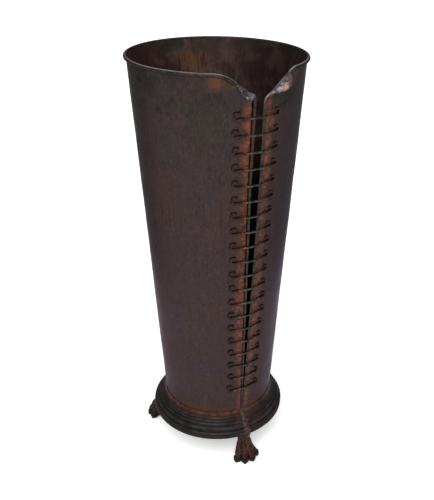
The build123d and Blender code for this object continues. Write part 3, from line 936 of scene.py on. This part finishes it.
def wall():
    """The tapered sheet up to its free edge, with both of its faces."""
    routes = [edge_route(1), edge_route(-1)]
    loops = []
    for height in row_heights():
        right, left = CLOSED_SEAM, CLOSED_SEAM
        if height >= SLIT_BOTTOM:
            right, left = (reach_at(route, height) for route in routes)
        first, final = right / body_radius(height), 2 * math.pi - left / body_radius(height)
        outer, inner = [], []
        for n in range(COLUMNS + 1):
            angle = mix(first, final, n / COLUMNS)
            turn = angle if angle <= math.pi else angle - 2 * math.pi
            radius = body_radius(height) + dent(turn, height)
            outer.append(around(angle, radius, height))
            inner.append(around(angle, radius - SHEET, height))
        loops.append(outer + inner[::-1])
    return mesh_object("wall", *skin(loops))


def stitch_levels():
    """Height of each stitch's run, read from the stitches' boxes."""
    return [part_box(name)[0].z + WIRE for name in stitch_nodes]


def hole_at(level):
    reach = STITCH_ANGLE * body_radius(level) - HOOK_RETURN
    return reach, level + HOOK_RISE


def cut_holes(piece):
    """Drills the lacing holes."""
    points, faces = [], []
    for level in stitch_levels():
        reach, height = hole_at(level)
        for side in (-1, 1):
            inner = on_body(reach * side, height, -4 * SHEET)
            outer = on_body(reach * side, height, 4 * SHEET)
            along = (outer - inner).normalized()
            across = along.cross(Vector((0, 0, 1))).normalized()
            upward = across.cross(along)
            rings = []
            for end in (inner, outer):
                turns = [2 * math.pi * k / DRILL_SIDES for k in range(DRILL_SIDES)]
                rings.append([end + (across * math.cos(t) + upward * math.sin(t)) * HOLE for t in turns])
            ring_points, ring_faces = skin(rings)
            faces += [tuple(len(points) + k for k in face) for face in ring_faces]
            points += ring_points
    drill = mesh_object("drill", points, faces)
    cut = piece.modifiers.new("holes", "BOOLEAN")
    cut.operation = "DIFFERENCE"
    cut.solver = "EXACT"
    cut.object = drill
    apply_modifiers(piece)
    bpy.data.objects.remove(drill)


def build_body():
    sheet_wall = wall()
    cut_holes(sheet_wall)
    for name in ("edge", "crest_highlight", "shine", "groove_shade"):
        set_attribute(sheet_wall, name, [0.0] * len(sheet_wall.data.vertices))
    body = join("body_shell_sheet", [sheet_wall, edge_strip()])
    dress(body, body_material())
    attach(body, "root")
    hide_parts("body_shell")


# ---- Lacing ----


STITCH_BENDS = [1.8 * MM, 1.8 * MM, 3.6 * MM, 3.6 * MM, 5 * MM]
PROUD = WIRE + 0.08 * MM


def stitch_end(side, level, chance):
    """One end's corners, from the middle of the slit out, up and in to its clinch."""
    tilt = chance.uniform(-0.7, 0.7) * MM
    longer = (chance.uniform(-2.0, 0.2) if side > 0 else chance.uniform(-0.6, 1.2)) * MM
    dip = (0.5 if side > 0 else 2.2) * MM
    rise = HOOK_RISE + chance.uniform(-0.5, 0.5) * MM - tilt
    reach = STITCH_ANGLE * body_radius(level) + longer
    hole, height = hole_at(level)
    hole += longer * 0.3
    over = 2 * hem_size(level) - SHEET + PROUD
    return [
        on_body(side * slit_half(level), level, over),
        on_body(side * reach, level + tilt - dip, PROUD),
        on_body(side * reach, level + tilt + rise, PROUD),
        on_body(side * hole, height, PROUD),
        on_body(side * hole, height, -SHEET - PROUD),
        on_body(side * (hole + CLINCH), height, -SHEET - PROUD),
    ]


def build_lacing():
    """Twenty hand-bent stitches, each a little different from the next."""
    finish = wire_material()
    chance = random.Random(4)
    for name, level in zip(stitch_nodes, stitch_levels()):
        left, right = (stitch_end(side, level, chance) for side in (-1, 1))
        path = rounded(left[::-1] + right, STITCH_BENDS + STITCH_BENDS[::-1], 0.7 * MM)
        stitch = tube("wire_" + name, path, WIRE * 0.98, sides=12, seed=level * 100, rough=0.07)
        dress(stitch, finish)
        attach(stitch, "root")
        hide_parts(name)


# ---- Stepped moulding ----

# Each step from the body outwards: width, drop and bulge, in millimetres
STEPS = [
    (2.8, 7.5, -0.7),
    (2.2, 3.8, 0.9),
    (2.2, 3.8, 0.9),
    (3.5, 4.6, 1.1),
    (4.6, 7.6, 2.0),
    (4.6, 4.1, 1.1),
]
LIP_HEIGHT = 6.7 * MM
LAND = 0.8 * MM
MOULDING_WALL = 2.2 * MM
ARC_POINTS = 9
LIP_POINTS = 6
LIP_SLACK = 0.35 * MM
RING_TURNS = 420
RING_JOINT = 0.4 * MM
CHIP = around(math.radians(-58.3), 90.5 * MM, 74.5 * MM)
CHIP_SIZE = 3.2 * MM


def moulding_profile():
    """Outline of the ring as (radius, height, edge, groove shade), outer face first."""
    inner = body_radius(RING_TOP) + 0.1 * MM
    wide = (RING_OUTER - inner - LAND) / sum(step[0] for step in STEPS)
    deep = (RING_TOP - RING_BOTTOM - LIP_HEIGHT) / sum(step[1] for step in STEPS)
    outline = [(inner, RING_TOP, 0.0, 0.6), (inner + LAND, RING_TOP, 0.2, 0.0)]
    radius, height = inner + LAND, RING_TOP
    nodes = []
    for width, drop, bulge in STEPS:
        end_radius, end_height = radius + width * wide, height - drop * deep
        chord = math.hypot(end_radius - radius, end_height - height)
        out_r, out_z = (height - end_height) / chord, (end_radius - radius) / chord
        for n in range(1, ARC_POINTS + 1):
            t = n / ARC_POINTS
            rise = 4 * bulge * MM * t * (1 - t)
            # ridges for rubbing and painted highlight, grooves for grime and painted shade
            ridge = (4 * t * (1 - t)) ** 2 if bulge > 0 else 0.0
            groove_shade = max(0.0, 1 - 4 * min(t, 1 - t)) ** 2 * (0.0 if bulge < 0 and t < 0.5 else 1.0)
            outline.append((
                mix(radius, end_radius, t) + out_r * rise,
                mix(height, end_height, t) + out_z * rise,
                ridge,
                groove_shade,
            ))
        radius, height = end_radius, end_height
        nodes.append((radius, height))
    for n in range(1, LIP_POINTS + 1):
        t = n / LIP_POINTS
        belly = LIP_SLACK * math.sin(math.pi * t) - LIP_SLACK
        outline.append((RING_OUTER + belly, mix(height, RING_BOTTOM, t), 0.8 * (1 - t), 0.0))
    outline.append((RING_OUTER - MOULDING_WALL, RING_BOTTOM, 0.0, 0.0))
    for radius, height in reversed(nodes):
        outline.append((radius - MOULDING_WALL, height - MOULDING_WALL / 2, 0.0, 0.0))
    return outline


def build_moulding():
    """The ring, worn all over and chipped at one place, open at its joint in front."""
    profile = moulding_profile()
    gap = RING_JOINT / RING_OUTER
    loops, edges, groove_shades = [], [], []
    for n in range(RING_TURNS + 1):
        angle = mix(gap, 2 * math.pi - gap, n / RING_TURNS)
        loop = []
        for radius, height, edge, groove_shade in profile:
            spot = around(angle, radius, height)
            worn = lumps(spot, 22 * MM, 6.0) * 0.28 * MM + lumps(spot, 6 * MM, 7.0) * 0.16 * MM
            lip = smooth(RING_OUTER - 3 * MM, RING_OUTER, radius)
            worn = mix(worn, -abs(worn), lip)
            struck = 1.3 * MM * math.exp(-((spot - CHIP).length / CHIP_SIZE) ** 2)
            drop = worn * 0.5 * (1 - lip) - struck
            loop.append(around(angle, radius + worn - struck, height + drop))
            edges.append(edge)
            groove_shades.append(groove_shade)
        loops.append(loop)
    ring = mesh_object("stepped_moulding", *skin(loops))
    set_attribute(ring, "edge", edges)
    set_attribute(ring, "groove_shade", groove_shades)
    dress(ring, moulding_material())
    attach(ring, "root")
    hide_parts("base_moulding")


# ---- Seam weld ----


DROP_STEP = 1.7 * MM
DROP_SPREAD = ((0.9, 1.5), (0.7, 1.0), (0.7, 1.1))


def build_weld():
    """Overlapping drops of filler down the front of the moulding."""
    outline = [(r, z) for r, z, _, _ in moulding_profile()]
    face = [p for p in outline if p[0] >= body_radius(RING_TOP)][1:]
    face = face[: face.index(min(face, key=lambda p: p[1])) + 1]
    route = [Vector((0, -r, z)) for r, z in face]
    route.append(Vector((0, -107.5 * MM, RING_BOTTOM - 5 * MM)))
    path = rounded(route, [1 * MM] * (len(route) - 2), DROP_STEP)
    chance = random.Random(9)
    points, faces = [], []
    for n, spot in enumerate(path):
        share = n / (len(path) - 1)
        size = mix(3.3, 4.3, share) * MM
        sway = chance.uniform(-1.6, 1.6) * MM
        radii = [size * chance.uniform(low, high) for low, high in DROP_SPREAD]
        blob(points, faces, spot + Vector((sway, 1.2 * MM, 0)), radii)
        if chance.random() < 0.6:
            aside = Vector((chance.choice((-1, 1)) * size, 1.4 * MM, chance.uniform(-1.5, 1.5) * MM))
            blob(points, faces, spot + aside, [size * chance.uniform(0.45, 0.75)] * 3)
    weld = clay("seam_weld_bead", points, faces, 0.5 * MM, 3)
    dress(weld, weld_material())
    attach(weld, "root")
    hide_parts("base_seam_weld")


# ---- Paw feet ----

TOE_FAN = (-58, -20, 19, 57)
FOOT_TURN = -2.5
FOOT_RADIUS = 100 * MM
PAW_CENTRE = 103.5 * MM


# The ankle's lumps: drop from the plate, place forward of the foot's circle, half width
# and half depth. The pad's are the same with a height in place of the drop. Millimetres.
ANKLE = [
    (2, 0.0, 10.6, 7.4),
    (8, 0.3, 9.8, 7.0),
    (15, 1.2, 10.0, 7.4),
    (21, 2.4, 12.5, 9.8),
    (27, 4.2, 14.0, 11.6),
]
PAD = [(12, 5.0, 15.2, 13.0), (7, 5.0, 15.8, 13.5)]


def add_toe(points, faces, fan, reach, top):
    """A tendon, a knuckle, a toe and a claw that fan out from the heel."""
    turn = math.radians(fan)
    heel = Vector((0, -PAW_CENTRE, 0))
    aim = Vector((math.sin(turn), -math.cos(turn), 0))
    wrist = Vector((math.sin(turn) * 7.4 * MM, -FOOT_RADIUS - math.cos(turn) * 4.2 * MM, top - 4 * MM))
    knuckle = heel + aim * 10.2 * MM + Vector((0, 0, 18.0 * MM))
    joint = heel + aim * (reach - 2.4 * MM) + Vector((0, 0, 11.5 * MM))
    toe = heel + aim * reach + Vector((0, 0, 6.4 * MM))
    claw = heel + aim * (reach + 3.7 * MM) + Vector((0, 0, 3.0 * MM))
    limb(points, faces, wrist, knuckle, 3.0 * MM, 5.4 * MM, 12)
    blob(points, faces, knuckle, [6.3 * MM] * 3)
    limb(points, faces, knuckle, joint, 5.9 * MM, 5.6 * MM, 6)
    blob(points, faces, toe, [7.1 * MM, 7.1 * MM, 6.6 * MM])
    limb(points, faces, toe, claw, 5.0 * MM, 3.1 * MM, 6)


def trim(piece, bottom, top):
    """Cuts the piece flat at two heights and closes the cuts."""
    bm = bmesh.new()
    bm.from_mesh(piece.data)
    for height, outer in ((bottom, -1), (top, 1)):
        geometry = bm.verts[:] + bm.edges[:] + bm.faces[:]
        cut = bmesh.ops.bisect_plane(
            bm, geom=geometry, plane_co=(0, 0, height), plane_no=(0, 0, outer), clear_outer=True
        )
        rim = [item for item in cut["geom_cut"] if isinstance(item, bmesh.types.BMEdge)]
        bmesh.ops.holes_fill(bm, edges=rim)
    bm.to_mesh(piece.data)
    bm.free()
    shade_smooth(piece.data)


def paw_mesh(name, reach):
    """A lion's paw at the front: ankle, tendons, four knuckled toes and short claws."""
    points, faces = [], []
    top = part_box("base_plate")[0].z
    rows = [(top - drop * MM, *sizes) for drop, *sizes in ANKLE]
    rows += [(height * MM, *sizes) for height, *sizes in PAD]
    for height, forward, wide, deep in rows:
        centre = Vector((0, -FOOT_RADIUS - forward * MM, height))
        blob(points, faces, centre, (wide * MM, deep * MM, 6.5 * MM))
    for fan in TOE_FAN:
        add_toe(points, faces, fan, reach, top)
    piece = clay(name, points, faces, 0.55 * MM, 2)
    trim(piece, 0.0, top)
    return piece


def sculpt_paw(piece, seed):
    """Works hair furrows and casting marks into the paw, and gives how deep each vertex lies in them,
    for the painted shade in its creases.
    """
    mesh = piece.data
    groove_shades = []
    for vertex, normal in zip(mesh.vertices, [v.vector.copy() for v in mesh.vertex_normals]):
        spot = vertex.co
        upper = smooth(8 * MM, 22 * MM, spot.z)
        inner = smooth(0.3 * MM, 2 * MM, spot.z) * smooth(43.4 * MM, 41.5 * MM, spot.z)
        bearing = math.atan2(spot.x, -(spot.y + FOOT_RADIUS - 2 * MM))
        furrow = math.sin(bearing * 15 + 2.2 * lumps(spot, 12 * MM, seed)) * 0.30 * MM * upper
        knocks = lumps(spot, 3.6 * MM, seed + 1) * 0.50 * MM
        knocks += lumps(spot, 1.5 * MM, seed + 2) * 0.16 * MM
        vertex.co = spot + normal * (furrow + knocks) * inner
        groove_shades.append(min(1.0, max(0.0, -(furrow + knocks) / (0.5 * MM))))
    mesh.update()
    return groove_shades


def crease_depth(piece):
    """How hollow the surface is at each vertex, from 0 on flats and bulges to 1."""
    mesh = piece.data
    normals = [v.vector.copy() for v in mesh.vertex_normals]
    total = [0.0] * len(mesh.vertices)
    count = [0] * len(mesh.vertices)
    for edge in mesh.edges:
        a, b = edge.vertices
        step = mesh.vertices[b].co - mesh.vertices[a].co
        length = step.length or 1e-9
        total[a] += step.dot(normals[a]) / length
        total[b] -= step.dot(normals[b]) / length
        count[a] += 1
        count[b] += 1
    return [min(1.0, max(0.0, t / max(c, 1) * 5.0)) for t, c in zip(total, count)]


# Each foot's node, how far its toes reach and how far the foot is set off its circle
FEET = [
    ("paw_foot_front", 18.0, 1.2),
    ("paw_foot_rear_right", 16.5, 0.0),
    ("paw_foot_rear_left", 15.2, -1.5),
]


def build_paws():
    """Three feet, each sculpted at the front and then turned to its place."""
    finish = paw_material()
    for seed, (node, reach, offset) in enumerate(FEET):
        paw = paw_mesh("sculpted_" + node, reach * MM)
        marks = sculpt_paw(paw, 31.0 + seed * 5)
        # Painted shade: furrow depth and hollowness of the surface
        creases = [min(1.0, 0.5 * m + c) for m, c in zip(marks, crease_depth(paw))]
        set_attribute(paw, "groove_shade", creases)
        paw.data.transform(Matrix.Translation((0, -offset * MM, 0)))
        paw.data.transform(Matrix.Rotation(math.radians(FOOT_TURN + 120 * seed), 4, "Z"))
        dress(paw, finish)
        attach(paw, "root")
        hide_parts(node)


# ---- Pieces that keep their own shape ----


def dress_kept_nodes():
    steel = steel_material()
    for name in ("rim_wire", "foot_screws", "foot_washers"):
        dress(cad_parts[name], steel)
    dress(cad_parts["base_plate"], plate_material())


# ---- Stage, light and camera ----

CAMERA_PLACE = (-0.4283, -0.8742, 0.8231)
CAMERA_TURN = -26.1
CAMERA_YAW = 3.26
CAMERA_PITCH = 26.90
CAMERA_ROLL = 1.34
CAMERA_LENS = 50.5
CAMERA_SHIFT = -0.0726
FLOOR_HALF = 9
SKY_STRENGTH = 0.72
SUN_STRENGTH = 1.3
SUN_AIM = (0.35, 0.55, -1.0)


def build_camera():
    """A 36 mm camera turned, pitched and rolled by the angles above."""
    data = bpy.data.cameras.new("camera")
    data.lens = CAMERA_LENS
    data.sensor_width = 36
    data.shift_x = CAMERA_SHIFT
    camera = bpy.data.objects.new("camera", data)
    bpy.context.scene.collection.objects.link(camera)
    yaw, pitch, roll = (math.radians(v) for v in (CAMERA_YAW, CAMERA_PITCH, CAMERA_ROLL))
    ahead = Vector((math.sin(yaw) * math.cos(pitch), math.cos(yaw) * math.cos(pitch), -math.sin(pitch)))
    ahead = Matrix.Rotation(math.radians(CAMERA_TURN), 3, "Z") @ ahead
    level = ahead.cross(Vector((0, 0, 1))).normalized()
    above = level.cross(ahead)
    side = level * math.cos(roll) + above * math.sin(roll)
    up = above * math.cos(roll) - level * math.sin(roll)
    turn = Matrix((side, up, -ahead)).transposed()
    camera.matrix_world = Matrix.Translation(CAMERA_PLACE) @ turn.to_4x4()
    bpy.context.scene.camera = camera


def light(name, kind, place, aim, power, **settings):
    data = bpy.data.lights.new(name, kind)
    data.energy = power
    for key, value in settings.items():
        setattr(data, key, value)
    lamp = bpy.data.objects.new(name, data)
    lamp.location = place
    lamp.rotation_euler = (Vector(aim) - Vector(place)).to_track_quat("-Z", "Y").to_euler()
    bpy.context.scene.collection.objects.link(lamp)


def build_stage():
    """A pale floor, an even sky, a wide sun and one soft lamp at the left."""
    turns = ((-1, -1), (1, -1), (1, 1), (-1, 1))
    corners = [Vector((x * FLOOR_HALF, y * FLOOR_HALF, 0)) for x, y in turns]
    floor = mesh_object("floor", corners, [(0, 1, 2, 3)])
    dress(floor, floor_material())
    world = bpy.data.worlds.new("soft_room")
    bpy.context.scene.world = world
    world.use_nodes = True
    sky = world.node_tree.nodes["Background"]
    sky.inputs["Color"].default_value = (1.0, 1.0, 1.0, 1.0)
    sky.inputs["Strength"].default_value = SKY_STRENGTH
    light("sun", "SUN", (0, 0, 0), SUN_AIM, SUN_STRENGTH, angle=math.radians(40))
    key = {"shape": "RECTANGLE", "size": 1.2, "size_y": 1.2, "color": (1.0, 0.98, 0.96)}
    light("key", "AREA", (-1.6, -1.3, 1.9), (0, 0, 0.4), 16, **key)
    bpy.context.scene.view_settings.view_transform = "Standard"


build_stage()
build_camera()
build_body()
build_lacing()
build_moulding()
build_weld()
build_paws()
dress_kept_nodes()
